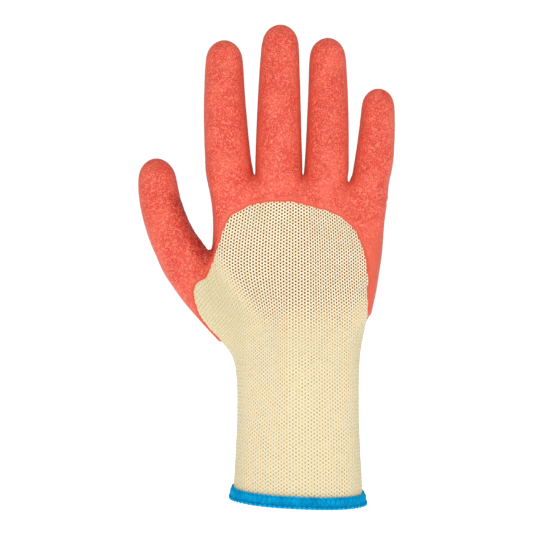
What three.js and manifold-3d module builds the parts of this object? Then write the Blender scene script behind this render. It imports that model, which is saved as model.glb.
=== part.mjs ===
// Right-hand work glove, size 9: a seamless knitted liner with a crinkle latex dip over
// the fingers, palm and knuckles, and an overlocked hem round the open cuff.
// Millimetres. +Z runs from the cuff to the fingertips, -Y comes out of the back of the
// hand, +X is the little-finger side. The origin is the middle of the wrist opening.
import * as THREE from "three";
import { mergeVertices } from "three/addons/utils/BufferGeometryUtils.js";
import Module from "manifold-3d";

// Walls and clearances
const linerWall = 1.3;
const coatWall = 0.9;
const coatGap = 0.3; // latex to knit
const hemGap = 0.3; // overlock thread to knit
const seamGap = 0.3; // between two knitted zones

// Cuff: a tube from the hem to the wrist
const cuffLength = 75.3;
const wristWidth = 65.6;
const wristDepth = 45;
const cuffFlare = 2.4; // how far the free end opens out on each side
const hemSlant = 3.1; // the thumb side of the hem sits this much higher
const cuffSquareness = 2.3; // exponent of the oval: 2 is an ellipse

// Overlocked hem: a rounded band folded over the edge of the cuff
const hemHeight = 6.6;
const hemOutside = 2.5; // how far the band stands out of the knit
const hemInside = 1.5;
const hemUnder = 1.8; // thread under the knit's edge
const hemLip = 0.35; // thickness of the band at its upper edge

// Hand, measured on the knit
const palmHeight = 96; // wrist to knuckles
const knuckleWidth = 96.4; // across the four finger roots
const knuckleDepth = 25;
const knuckleOffset = 0.4;
const valleyShare = 0.42; // of that depth, what is left between two knuckles
const valleyPower = 0.8; // below 1 the valleys are narrow
const palmWidth = 90.4; // across the hand at the thumb's fork
const palmDepth = 33;
const palmSquareness = 2.7;
const palmOffset = -1.35; // the hand's middle lies this far to the thumb side
const palmForward = 1.5; // and this far towards the palm
const palmSideShare = 0.54; // of the depth, the share on the palm side
const heelSwell = 3.5; // the fleshy heel stands out by this on the palm side
const webRise = 8; // from the knuckle line up to the web between two fingers
const webOpening = 2.2; // clear space between two coated fingers at their roots
const forkHeight = 58; // wrist to the fork between thumb and palm
const forkRise = 5; // the fork's saddle above that
const forkWidth = 4.5; // between the thumb's root and the palm

// Fingers. width is a share of knuckleWidth less the webs, depth of knuckleDepth, rise of
// palmHeight, length of fingerLength, and tip of the finger's own width.
const fingerLength = 89; // knuckle line to the longest tip
const fingerDepth = 0.9; // depth of a finger's section over its width
const fingerTable = [
  { name: "index", width: 0.262, depth: 1, rise: 1.0, length: 0.915, tip: 0.77 },
  { name: "middle", width: 0.266, depth: 1, rise: 1.012, length: 1.0, tip: 0.76 },
  { name: "ring", width: 0.246, depth: 0.95, rise: 0.997, length: 0.935, tip: 0.8 },
  { name: "little", width: 0.226, depth: 0.84, rise: 0.935, length: 0.69, tip: 0.81 },
];
// lean and curl carry the tip sideways and towards the palm, and bow bends the middle
// sideways, all in shares of the length. sink sets the root back towards the palm.
const fingerBends = {
  index: { lean: -0.046, bow: -0.033, curl: 0.1, sink: 1.5 },
  middle: { lean: 0.013, bow: -0.01, curl: 0.11, sink: 0 },
  ring: { lean: 0.017, bow: 0.017, curl: 0.12, sink: 1.2 },
  little: { lean: 0.095, bow: 0.036, curl: 0.13, sink: 3.4 },
};
const fingerSwell = 1.04; // a finger's widest section over its width at the knuckles
const taperPower = 1.5; // above 1 the finger keeps its width first and narrows late
const fingerSquareness = 2.15;
const backBend = 0.45; // the curl comes late: the middle stays back by this share of it
const domeShare = 1.12; // length of a fingertip's dome over half its width

// Thumb, rooted beside the palm at the fork
const thumbRootWidth = 24;
const thumbTipWidth = 20.2;
const thumbRootDepth = 25;
const thumbTipDepth = 19;
const thumbRise = 55; // from the fork up to the tip
const thumbReach = 15.2; // how far the tip stands out beyond the root
const thumbBow = 10; // how far the middle bends out from the straight line
const thumbForward = 8; // the root lies this far towards the palm
const thumbCurl = 4;
const thumbTilt = 8; // the root's outer side sits this much lower
const tiltStart = 0.2; // share of the root's width that stays level
const thumbSquareness = 2.2;

const backColumns = 5; // points across the back of each finger
const fingerSides = 2 * (backColumns + 1);
const fingerRings = 5; // along the straight part of a finger
const domeRings = 3; // round its tip
const firstRing = 5; // from the web up to the first whole ring, in millimetres
const domeLast = domeRings + 0.55; // the last ring stops short of the tip
const seamRise = 1.5; // a stall of the liner begins this far above its web
const stallRoom = 9; // a finger may lean this far out beyond the knuckles

// How the hand opens between wrist and fork: share of the height, share of the way from
// the wrist's section to the fork's, and share of the heel's swell.
const handTable = [
  { rise: 0.164, spread: 0.124, heel: 0.3 },
  { rise: 0.34, spread: 0.34, heel: 0.75 },
  { rise: 0.512, spread: 0.535, heel: 1 },
  { rise: 0.685, spread: 0.723, heel: 0.9 },
  { rise: 0.853, spread: 0.871, heel: 0.5 },
];
// How the cuff opens towards its free end: share of the length, share of the flare.
const cuffTable = [
  { rise: 0, flare: 1 },
  { rise: 0.17, flare: 0.8 },
  { rise: 0.36, flare: 0.45 },
  { rise: 0.6, flare: 0.1 },
  { rise: 1, flare: 0.12 },
];
const palmRings = [0.25, 0.52, 0.78]; // shares of the way from fork to knuckles
const palmWaist = 1.2; // the thumb side draws in by this halfway up

// Edge of the latex on the back of the hand, from the thumb side over the knuckles to
// the little-finger side: across in shares of knuckleWidth, up in shares of palmHeight.
const backEdge = [
  { across: -0.436, up: 0.125 },
  { across: -0.515, up: 0.2 },
  { across: -0.572, up: 0.3 },
  { across: -0.593, up: 0.41 },
  { across: -0.58, up: 0.453 },
  { across: -0.527, up: 0.49 },
  { across: -0.488, up: 0.59 },
  { across: -0.436, up: 0.72 },
  { across: -0.402, up: 0.805 },
  { across: -0.356, up: 0.86 },
  { across: -0.25, up: 0.905 },
  { across: -0.11, up: 0.93 },
  { across: 0.02, up: 0.912 },
  { across: 0.12, up: 0.888 },
  { across: 0.235, up: 0.835 },
  { across: 0.32, up: 0.758 },
  { across: 0.365, up: 0.65 },
  { across: 0.39, up: 0.5 },
  { across: 0.398, up: 0.37 },
  { across: 0.406, up: 0.24 },
];
// Edge of the latex round the heel, between the same two ends.
const heelEdge = [
  { across: -0.436, up: 0.125 },
  { across: -0.21, up: 0.12 },
  { across: 0.05, up: 0.15 },
  { across: 0.26, up: 0.2 },
  { across: 0.406, up: 0.24 },
];
const edgeSamples = 38;
const sideDepth = 4; // the back and heel edges meet on this plane, towards the palm

const wristHeight = cuffLength;
const kneeHeight = wristHeight + forkHeight;
const coatOutside = coatGap + coatWall;

const wasm = await Module();
wasm.setup();

// The skin of the glove: points, and four-sided faces grouped by knitted zone.
const points = [];
const zones = {};

function addPoints(list) {
  return list.map((point) => points.push(point) - 1);
}

function addFace(zone, ...corners) {
  (zones[zone] ??= []).push(corners);
}

// Joins two rings of equal length with a band of faces. Rings run anticlockwise seen
// from above, so that the faces look outwards.
function addBand(zone, lower, upper) {
  lower.forEach((corner, i) => {
    const next = (i + 1) % lower.length;
    addFace(zone, corner, lower[next], upper[next], upper[i]);
  });
}

// A point of a rounded oval: exponent 2 is an ellipse, more is squarer.
function ovalPoint(angle, halfWidth, halfDepth, squareness) {
  const round = (value) => Math.sign(value) * Math.abs(value) ** (2 / squareness);
  return [halfWidth * round(Math.cos(angle)), halfDepth * round(Math.sin(angle))];
}

// Every ring below the fork has these columns: the little-finger side, the palm from
// right to left, the thumb's palm side, its outer side and its back, and the back.
const handColumns = fingerTable.length * backColumns;
const lowerCount = 2 * (handColumns + backColumns + 1);

function cuffRing(height, flare, bottomSlant) {
  return Array.from({ length: lowerCount }, (_, i) => {
    const angle = (2 * Math.PI * i) / lowerCount;
    const halfWidth = wristWidth / 2 + flare;
    const [x, y] = ovalPoint(angle, halfWidth, wristDepth / 2 + flare, cuffSquareness);
    return new THREE.Vector3(x, y, height - (bottomSlant * x) / wristWidth);
  });
}

// The palm's outline at the fork, without its two side points.
const palmLeft = palmOffset - palmWidth / 2;
const palmRight = palmOffset + palmWidth / 2;
const cornerAngle = THREE.MathUtils.degToRad(17);

function palmOutline(side) {
  return Array.from({ length: handColumns }, (_, i) => {
    const share = i / (handColumns - 1);
    const angle = cornerAngle + share * (Math.PI - 2 * cornerAngle);
    const halfDepth = palmDepth * (side > 0 ? palmSideShare : 1 - palmSideShare);
    const [x, y] = ovalPoint(angle, palmWidth / 2, halfDepth, palmSquareness);
    return new THREE.Vector3(palmOffset + x, side * y + palmForward, kneeHeight);
  });
}

// Angles round a finger's section, from its right side over the palm side.
const sectionAngles = Array.from(
  { length: fingerSides },
  (_, i) => (2 * Math.PI * i) / fingerSides,
);

const thumbRoot = new THREE.Vector3(
  palmLeft - forkWidth - thumbRootWidth / 2,
  thumbForward,
  kneeHeight,
);

// The thumb's root section without its right side, from palm side to back.
function thumbOutline() {
  return sectionAngles.slice(1).map((angle) => {
    const [x, y] = ovalPoint(angle, thumbRootWidth / 2, thumbRootDepth / 2, thumbSquareness);
    const outward = Math.max(0, (thumbRootWidth / 2 - x) / thumbRootWidth - tiltStart);
    return new THREE.Vector3(thumbRoot.x + x, thumbRoot.y + y, kneeHeight - thumbTilt * outward);
  });
}

function forkRing() {
  const palmSide = palmOutline(1);
  const back = palmOutline(-1).reverse();
  const right = new THREE.Vector3(palmRight, palmForward, kneeHeight);
  return [right, ...palmSide, ...thumbOutline(), ...back];
}

// Where the fingers stand at the knuckles: middle, half width and height of each.
const webWidth = webOpening + 2 * coatOutside;
const widthForFingers = knuckleWidth - webWidth * (fingerTable.length - 1);
let edge = knuckleOffset - knuckleWidth / 2;
const fingers = fingerTable.map((row) => {
  const halfWidth = (row.width * widthForFingers) / 2;
  const halfDepth = (row.depth * knuckleDepth) / 2;
  const middle = edge + halfWidth;
  edge += 2 * halfWidth + webWidth;
  const height = wristHeight + row.rise * palmHeight;
  return { ...row, ...fingerBends[row.name], halfWidth, halfDepth, middle, height };
});

// The knuckle line: each finger's back or palm side, shallower at the valleys.
const columnAngles = sectionAngles.slice(1, backColumns + 1);

function knuckleSide(side) {
  return fingers.map((finger, i) => {
    return columnAngles.map((angle, column) => {
      const toNext = column === 0 ? 1 : column === backColumns - 1 ? -1 : 0;
      const neighbour = fingers[i + toNext] ?? finger;
      const height = (finger.height + neighbour.height) / 2;
      const bulge = THREE.MathUtils.lerp(valleyShare, 1, Math.sin(angle) ** valleyPower);
      const x = finger.middle + finger.halfWidth * Math.cos(angle);
      return new THREE.Vector3(x, finger.sink + side * finger.halfDepth * bulge, height);
    });
  });
}

function sidePoint(finger, side, height) {
  return new THREE.Vector3(finger.middle + side * finger.halfWidth, finger.sink, height);
}

function blend(from, to, share) {
  return from.map((point, i) => point.clone().lerp(to[i], share));
}

// Cuff and lower hand
let ring = null;
for (const row of cuffTable) {
  const slant = hemSlant * (1 - row.rise);
  const bottom = hemUnder + hemGap;
  const height = bottom + row.rise * (wristHeight - bottom);
  const next = addPoints(cuffRing(height, cuffFlare * row.flare, slant));
  if (ring) addBand("cuff", ring, next);
  ring = next;
}
const cuffBottom = Array.from({ length: lowerCount }, (_, i) => i);
const wristPoints = ring.map((i) => points[i]);
const forkPoints = forkRing();
for (const row of [...handTable, { rise: 1, spread: 1, heel: 0 }]) {
  const layer = blend(wristPoints, forkPoints, row.spread);
  layer.forEach((point, i) => {
    const drop = kneeHeight - forkPoints[i].z;
    point.z = wristHeight + row.rise * forkHeight - drop * row.spread;
    const palmward = Math.max(0, Math.sin((2 * Math.PI * i) / lowerCount));
    point.y += heelSwell * row.heel * palmward;
  });
  const next = addPoints(layer);
  addBand("hand", ring, next);
  ring = next;
}

// The fork: a saddle between the thumb's root and the palm
const thumbColumns = fingerSides - 1;
const palmFrom = 1 + handColumns;
const thumbRing = ring.slice(palmFrom, palmFrom + thumbColumns);
const backFrom = palmFrom + thumbColumns;
const forkTop = kneeHeight + forkRise;
const forkSides = { thumb: { across: 0.85, forward: 0.55 }, palm: { across: 0.1, forward: 0.4 } };
const [forkThumb, forkPalm] = addPoints(
  [forkSides.thumb, forkSides.palm].map(({ across, forward }) => {
    return new THREE.Vector3(palmLeft - forkWidth * across, thumbForward * forward, forkTop);
  }),
);
addFace("hand", thumbRing.at(-1), ring[backFrom], forkPalm, forkThumb);
addFace("hand", ring[palmFrom - 1], thumbRing[0], forkThumb, forkPalm);

// Palm up to the knuckles
const thumbBase = [forkThumb, ...thumbRing];
ring = [...ring.slice(0, palmFrom), forkPalm, ...ring.slice(backFrom)];
const knucklePalm = knuckleSide(1);
const knuckleBack = knuckleSide(-1);
const littleFinger = fingers.at(-1);
const knucklePoints = [
  sidePoint(littleFinger, 1, littleFinger.height),
  ...knucklePalm.slice().reverse().flat(),
  sidePoint(fingers[0], -1, fingers[0].height),
  ...knuckleBack.flatMap((column) => column.slice().reverse()),
];
const forkLoop = ring.map((i) => points[i]);
for (const share of [...palmRings, 1]) {
  const layer = blend(forkLoop, knucklePoints, share);
  layer.forEach((point, i) => {
    const from = i === palmFrom ? forkTop : kneeHeight;
    point.z = from + share * (knucklePoints[i].z - from);
    const leftward = Math.max(0, (palmOffset - point.x) / palmWidth) * 2;
    point.x += palmWaist * Math.sin(Math.PI * share) * leftward ** 2;
  });
  const next = addPoints(layer);
  addBand("hand", ring, next);
  ring = next;
}

// Webs between the fingers
const bases = fingers.map((finger, i) => {
  const palmStart = 1 + (fingers.length - 1 - i) * backColumns;
  const backStart = palmFrom + 1 + i * backColumns;
  return {
    palm: ring.slice(palmStart, palmStart + backColumns),
    back: ring.slice(backStart, backStart + backColumns),
    left: ring[palmFrom],
    right: ring[0],
  };
});
for (let i = 0; i < fingers.length - 1; i += 1) {
  const [here, there] = [fingers[i], fingers[i + 1]];
  const height = (here.height + there.height) / 2 + webRise;
  const [left, right] = addPoints([sidePoint(here, 1, height), sidePoint(there, -1, height)]);
  bases[i].right = left;
  bases[i + 1].left = right;
  addFace("hand", bases[i].back.at(-1), bases[i + 1].back[0], right, left);
  addFace("hand", bases[i + 1].palm.at(-1), bases[i].palm[0], left, right);
}

// One finger or the thumb: rings square to a bent axis, then a dome closed by one point.
// plan gives the axis and the half sizes of the section at its root and at its tip.
function addFinger(base, plan) {
  const { axis, rootWidth, tipWidth, depthShare, tipDepthShare, squareness, start } = plan;
  const length = axis.getLength();
  const domeLength = tipWidth * domeShare;
  const domeStart = 1 - domeLength / length;
  const shares = [];
  for (let k = 0; k <= fingerRings; k += 1) {
    shares.push({ at: start + ((domeStart - start) * k) / fingerRings, dome: 1 });
  }
  for (let k = 1; k <= domeRings; k += 1) {
    const angle = (Math.PI / 2) * (k / domeLast);
    const at = domeStart + (1 - domeStart) * Math.sin(angle);
    shares.push({ at, dome: Math.cos(angle) });
  }
  let lower = base;
  for (const { at, dome } of shares) {
    const centre = axis.getPointAt(at);
    const along = axis.getTangentAt(at);
    const depthWay = new THREE.Vector3(0, 1, 0).addScaledVector(along, -along.y).normalize();
    const acrossWay = new THREE.Vector3().crossVectors(depthWay, along);
    const taper = Math.min(1, at / domeStart) ** taperPower;
    const halfWidth = THREE.MathUtils.lerp(rootWidth, tipWidth, taper) * dome;
    const share = THREE.MathUtils.lerp(depthShare, tipDepthShare, taper);
    const upper = addPoints(
      sectionAngles.map((angle) => {
        const [across, deep] = ovalPoint(angle, halfWidth, halfWidth * share, squareness);
        return centre.clone().addScaledVector(acrossWay, across).addScaledVector(depthWay, deep);
      }),
    );
    addBand("hand", lower, upper);
    lower = upper;
  }
  const [tip] = addPoints([axis.getPointAt(1)]);
  lower.forEach((corner, i) => addFace("hand", corner, lower[(i + 1) % lower.length], tip));
}

fingers.forEach((finger, i) => {
  const { palm, back, left, right } = bases[i];
  const length = finger.length * fingerLength;
  const root = new THREE.Vector3(finger.middle, finger.sink, finger.height);
  const tip = root.clone();
  tip.x += finger.lean * length;
  tip.y += finger.curl * length;
  tip.z += length;
  const bend = root.clone().lerp(tip, 0.5);
  bend.x += finger.bow * length;
  bend.y -= finger.curl * length * backBend;
  const rootWidth = finger.halfWidth * fingerSwell;
  addFinger([right, ...palm, left, ...back], {
    axis: new THREE.QuadraticBezierCurve3(root, bend, tip),
    rootWidth,
    tipWidth: rootWidth * finger.tip,
    depthShare: finger.halfDepth / rootWidth,
    tipDepthShare: fingerDepth,
    squareness: fingerSquareness,
    start: (webRise + firstRing) / length,
  });
});

const thumbTip = thumbRoot.clone().add(new THREE.Vector3(-thumbReach, thumbCurl, thumbRise));
const thumbBend = thumbRoot.clone().lerp(thumbTip, 0.5);
thumbBend.x -= thumbBow;
addFinger(thumbBase, {
  axis: new THREE.QuadraticBezierCurve3(thumbRoot, thumbBend, thumbTip),
  rootWidth: thumbRootWidth / 2,
  tipWidth: thumbTipWidth / 2,
  depthShare: thumbRootDepth / thumbRootWidth,
  tipDepthShare: thumbTipDepth / thumbTipWidth,
  squareness: fingerSquareness,
  start: (forkRise + firstRing) / thumbRise,
});

// Outward directions of the skin, and walls made by offsetting it
function trianglesOf(faces) {
  return faces.flatMap(([a, b, c, d]) => (d === undefined ? [[a, b, c]] : [[a, b, c], [a, c, d]]));
}

const outward = points.map(() => new THREE.Vector3());
for (const [a, b, c] of trianglesOf(Object.values(zones).flat())) {
  const side = points[b].clone().sub(points[a]);
  const normal = side.cross(points[c].clone().sub(points[a]));
  for (const corner of [a, b, c]) outward[corner].add(normal);
}
outward.forEach((way) => way.normalize());
for (const i of cuffBottom) outward[i].setZ(0).normalize();

// A closed wall between two offsets of some zones of the skin.
function wall(names, inner, outer) {
  const faces = names.flatMap((name) => zones[name]);
  const used = new Map();
  const edges = new Map();
  for (const face of faces) {
    face.forEach((from, i) => {
      const to = face[(i + 1) % face.length];
      if (!used.has(from)) used.set(from, used.size);
      if (!edges.delete(`${to},${from}`)) edges.set(`${from},${to}`, [from, to]);
    });
  }
  const layers = [outer, inner].flatMap((offset) => {
    return [...used.keys()].flatMap((i) => {
      return points[i].clone().addScaledVector(outward[i], offset).toArray();
    });
  });
  const at = (i, layer) => used.get(i) + layer * used.size;
  const index = [];
  for (const [a, b, c] of trianglesOf(faces)) {
    index.push(at(a, 0), at(b, 0), at(c, 0), at(a, 1), at(c, 1), at(b, 1));
  }
  for (const [from, to] of edges.values()) {
    index.push(at(to, 0), at(from, 0), at(from, 1), at(to, 0), at(from, 1), at(to, 1));
  }
  return new THREE.BufferGeometry()
    .setAttribute("position", new THREE.Float32BufferAttribute(layers, 3))
    .setIndex(index);
}

function toSolid(geometry) {
  const bare = geometry.clone();
  for (const name of Object.keys(bare.attributes)) {
    if (name !== "position") bare.deleteAttribute(name);
  }
  const merged = mergeVertices(bare, 1e-4);
  return new wasm.Manifold(
    new wasm.Mesh({
      numProp: 3,
      vertProperties: new Float32Array(merged.attributes.position.array),
      triVerts: new Uint32Array(merged.index.array),
    }),
  );
}

function toGeometry(solid) {
  const { vertProperties, triVerts } = solid.getMesh();
  return new THREE.BufferGeometry()
    .setAttribute("position", new THREE.Float32BufferAttribute(vertProperties, 3))
    .setIndex(new THREE.BufferAttribute(triVerts, 1));
}

// A block reaches further than any part of the glove.
const blockReach = knuckleWidth + thumbReach + thumbRootWidth;

// Where the liner is divided: each stall stands between the webs beside it.
function stallZones() {
  const webs = fingers.slice(1).map((there, i) => {
    const here = fingers[i];
    return {
      middle: (here.middle + here.halfWidth + there.middle - there.halfWidth) / 2,
      height: (here.height + there.height) / 2 + webRise,
    };
  });
  return fingers.map(({ name }, i) => {
    const beside = [webs[i - 1], webs[i]].filter(Boolean);
    return {
      name,
      from: webs[i - 1]?.middle ?? knuckleOffset - knuckleWidth / 2 - stallRoom,
      to: webs[i]?.middle ?? blockReach,
      low: Math.max(...beside.map((web) => web.height)) + seamRise,
      high: wristHeight + palmHeight + blockReach,
    };
  });
}

function zoneBlock({ from, to, low, high }, gap) {
  const [bottom, top] = [low - gap, high + gap];
  const box = new THREE.BoxGeometry(to - from, 2 * blockReach, top - bottom);
  return toSolid(box.translate((from + to) / 2, 0, (bottom + top) / 2));
}

// The liner is knitted in one, zone by zone. Each zone is a solid, cut out of one wall.
function linerZones() {
  const seamless = toSolid(wall(["cuff", "hand"], -linerWall, 0));
  const ends = [
    { name: "cuff", from: -blockReach, to: blockReach, low: -cuffLength, high: wristHeight },
    {
      name: "thumb",
      from: -blockReach,
      to: palmLeft - forkWidth,
      low: forkTop + seamRise,
      high: kneeHeight + thumbRise + seamRise,
    },
  ];
  const zonesToCut = [...ends, ...stallZones()];
  const hand = zonesToCut.reduce((rest, zone) => rest.subtract(zoneBlock(zone, seamGap)), seamless);
  const cut = zonesToCut.map((zone) => [zone.name, seamless.intersect(zoneBlock(zone, 0))]);
  return [["hand", hand], ...cut];
}

// Everything below one edge of the latex, as a block on one side of the side plane.
function bareBlock(table, towardsPalm) {
  const run = table.map(({ across, up }) => {
    return new THREE.Vector2(across * knuckleWidth, wristHeight + up * palmHeight);
  });
  const line = new THREE.SplineCurve(run).getPoints(edgeSamples);
  const shape = new THREE.Shape([
    new THREE.Vector2(-blockReach, -cuffLength),
    new THREE.Vector2(-blockReach, line[0].y),
    ...line,
    new THREE.Vector2(blockReach, line.at(-1).y),
    new THREE.Vector2(blockReach, -cuffLength),
  ]);
  const block = new THREE.ExtrudeGeometry(shape, { depth: blockReach, bevelEnabled: false });
  block.rotateX(Math.PI / 2);
  block.translate(0, sideDepth + (towardsPalm ? blockReach : 0), 0);
  return block;
}

function latexCoating() {
  const skin = toSolid(wall(["hand"], coatGap, coatOutside));
  const bare = toSolid(bareBlock(backEdge, false)).add(toSolid(bareBlock(heelEdge, true)));
  return toGeometry(skin.subtract(bare));
}

// The hem's section, from the inside of the cuff round under its edge to the outside:
// out is the distance from the knit's outer face, up the height over the hem's foot.
function hemSection() {
  const inside = -linerWall - hemInside;
  const groove = { inner: -linerWall - hemGap, outer: hemGap, floor: hemUnder };
  return [
    { out: inside, up: hemHeight * 0.55 },
    { out: inside * 0.45, up: hemHeight * 0.02 },
    { out: hemOutside * 0.45, up: 0 },
    { out: hemOutside * 0.94, up: hemHeight * 0.28 },
    { out: hemOutside * 0.92, up: hemHeight * 0.68 },
    { out: groove.outer + hemLip, up: hemHeight },
    { out: groove.outer, up: hemHeight * 0.97 },
    { out: groove.outer, up: groove.floor },
    { out: groove.inner, up: groove.floor },
    { out: groove.inner, up: hemHeight * 0.9 },
  ];
}

function cuffHem() {
  const section = hemSection();
  const foot = hemUnder + hemGap;
  const positions = [];
  const index = [];
  cuffBottom.forEach((i, column) => {
    const next = (column + 1) % cuffBottom.length;
    section.forEach(({ out, up }, k) => {
      const point = points[i].clone().addScaledVector(outward[i], out);
      point.z += up - foot;
      positions.push(...point.toArray());
      const after = (k + 1) % section.length;
      const [a, b] = [column * section.length + k, next * section.length + k];
      const [c, d] = [next * section.length + after, column * section.length + after];
      index.push(a, b, c, a, c, d);
    });
  });
  return new THREE.BufferGeometry()
    .setAttribute("position", new THREE.Float32BufferAttribute(positions, 3))
    .setIndex(index);
}

const knit = new THREE.MeshStandardMaterial({ color: 0xecddb6, roughness: 0.95, metalness: 0 });
const latex = new THREE.MeshStandardMaterial({ color: 0xee6552, roughness: 0.6, metalness: 0 });
const thread = new THREE.MeshStandardMaterial({ color: 0x058dcd, roughness: 0.85, metalness: 0 });

const glove = new THREE.Group();

function addPiece(name, geometry, material) {
  geometry.computeVertexNormals();
  const mesh = new THREE.Mesh(geometry, material);
  mesh.name = name;
  glove.add(mesh);
}

linerZones().forEach(([name, solid]) => addPiece(`knit_${name}`, toGeometry(solid), knit));
addPiece("latex_coating", latexCoating(), latex);
addPiece("overlock_hem", cuffHem(), thread);

export default glove;
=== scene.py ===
# Right-hand work glove, size 9: knitted liner, coral crinkle latex dip, blue overlocked hem.
# Metres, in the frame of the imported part: +Z to the fingertips, -Y out of the back of the hand.
import math
import bmesh
import bpy
import numpy as np
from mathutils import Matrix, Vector
from mathutils.bvhtree import BVHTree
from mathutils.kdtree import KDTree


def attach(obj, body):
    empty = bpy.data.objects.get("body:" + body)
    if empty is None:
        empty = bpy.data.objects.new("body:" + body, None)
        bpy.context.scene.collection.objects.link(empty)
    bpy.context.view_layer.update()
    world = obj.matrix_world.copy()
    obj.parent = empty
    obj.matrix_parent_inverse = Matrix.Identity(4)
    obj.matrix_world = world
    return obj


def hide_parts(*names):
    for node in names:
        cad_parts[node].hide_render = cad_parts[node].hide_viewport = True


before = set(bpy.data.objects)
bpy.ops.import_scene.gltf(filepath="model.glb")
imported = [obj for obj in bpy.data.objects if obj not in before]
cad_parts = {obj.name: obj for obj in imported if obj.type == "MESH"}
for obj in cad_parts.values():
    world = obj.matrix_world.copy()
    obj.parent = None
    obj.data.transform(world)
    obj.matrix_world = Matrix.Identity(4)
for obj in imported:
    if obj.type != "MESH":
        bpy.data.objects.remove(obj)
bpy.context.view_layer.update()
mm = 0.001
knitNodes = [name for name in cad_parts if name.startswith("knit_")]


def report(stage):
    print("glove:", stage)


# Small helpers

def pick(piece):
    bpy.ops.object.select_all(action="DESELECT")
    piece.select_set(True)
    bpy.context.view_layer.objects.active = piece


def pointsOf(piece):
    flat = np.empty(len(piece.data.vertices) * 3)
    piece.data.vertices.foreach_get("co", flat)
    return flat.reshape(-1, 3)


def movePoints(piece, places):
    piece.data.vertices.foreach_set("co", np.ascontiguousarray(places, dtype=np.float64).ravel())
    piece.data.update()


def normalsOf(piece):
    flat = np.empty(len(piece.data.vertices) * 3)
    piece.data.vertices.foreach_get("normal", flat)
    return flat.reshape(-1, 3)


def applyModifier(piece, kind, **settings):
    pick(piece)
    step = piece.modifiers.new(kind.lower(), kind)
    for name, value in settings.items():
        setattr(step, name, value)
    bpy.ops.object.modifier_apply(modifier=step.name)


def copyPiece(piece, name):
    copy = piece.copy()
    copy.data = piece.data.copy()
    copy.name = name
    copy.data.name = name
    bpy.context.collection.objects.link(copy)
    return copy


def smoothStep(low, high, value):
    share = np.clip((value - low) / (high - low), 0, 1)
    return share * share * (3 - 2 * share)


def mixed(low, share):
    return low + (1 - low) * share


def triangleCount(piece):
    return sum(len(face.vertices) - 2 for face in piece.data.polygons)


def shadeSmooth(piece):
    piece.data.polygons.foreach_set("use_smooth", [True] * len(piece.data.polygons))
    piece.data.update()


def setAttribute(piece, name, values):
    layer = piece.data.attributes.new(name, "FLOAT", "POINT")
    layer.data.foreach_set("value", np.asarray(values, dtype=np.float32))


def unit(vectors):
    return vectors / np.maximum(np.linalg.norm(vectors, axis=-1, keepdims=True), 1e-12)


def randomAt(cells, seed):
    # The same number from 0 to 1 for the same cell in every run
    turned = cells @ np.array([127.1, 311.7, 74.7]) + seed * 19.19
    return np.modf(np.abs(np.sin(turned) * 43758.5453))[0]


def uneven(swing, cells, seed):
    # About 1, up or down by the swing
    return 1 - swing + 2 * swing * randomAt(cells, seed)


def softNoise(places, size, seed=0):
    # Smooth noise from 0 to 1 with lumps of the given size
    scaled = places / size + seed * 7.3
    cell = np.floor(scaled)
    share = scaled - cell
    share = share * share * (3 - 2 * share)
    total = np.zeros(len(places))
    for corner in np.ndindex(2, 2, 2):
        weight = np.prod(np.where(np.array(corner) == 1, share, 1 - share), axis=1)
        total += weight * randomAt(cell + np.array(corner), seed)
    return total


# The smooth form of the gloved hand, which the knit and the latex both follow

gloveForm = {
    "seam": 0.45 * mm,  # the knitted zones stand 0.3 mm apart
    "subdivisions": 2,
    "voxel": 0.85 * mm,
    "smoothing": 12,
    "drawnOut": 12 * mm,
    "ledge": 2.0 * mm,  # the little finger stands out by this, and the skin over it is drawn in
    "ledgeFrom": (163 * mm, 166.2 * mm),
    "ledgeTo": (168 * mm, 190 * mm),
    "ledgeSide": (34 * mm, 47 * mm),
}


def flatRim(face):
    heights = [v.co.z for v in face.verts]
    level = abs(face.normal.z) > 0.999 and max(heights) - min(heights) < 0.002 * mm
    return level or (face.normal.z < -0.95 and max(heights) < 5 * mm)


def outerSkin():
    # Joins the zones of the liner and keeps the wall that faces outwards
    work = bmesh.new()
    for name in knitNodes:
        work.from_mesh(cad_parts[name].data)
    bmesh.ops.remove_doubles(work, verts=work.verts, dist=0.01 * mm)
    bmesh.ops.delete(work, geom=[f for f in work.faces if flatRim(f)], context="FACES")
    bmesh.ops.remove_doubles(work, verts=work.verts, dist=gloveForm["seam"])
    start = max(work.verts, key=lambda v: v.co.z)
    outer, front = {start}, [start]
    while front:
        corner = front.pop()
        for edge in corner.link_edges:
            other = edge.other_vert(corner)
            if other not in outer:
                outer.add(other)
                front.append(other)
    bmesh.ops.delete(work, geom=[v for v in work.verts if v not in outer], context="VERTS")
    gaps = [e for e in work.edges if e.is_boundary and max(v.co.z for v in e.verts) > 20 * mm]
    bmesh.ops.holes_fill(work, edges=gaps, sides=0)
    mesh = bpy.data.meshes.new("formSkin")
    work.to_mesh(mesh)
    work.free()
    skin = bpy.data.objects.new("formSkin", mesh)
    bpy.context.collection.objects.link(skin)
    pick(skin)
    bpy.ops.object.mode_set(mode="EDIT")
    bpy.ops.mesh.select_all(action="SELECT")
    bpy.ops.mesh.tris_convert_to_quads(face_threshold=math.radians(60), shape_threshold=math.radians(80))
    bpy.ops.object.mode_set(mode="OBJECT")
    return skin


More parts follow.
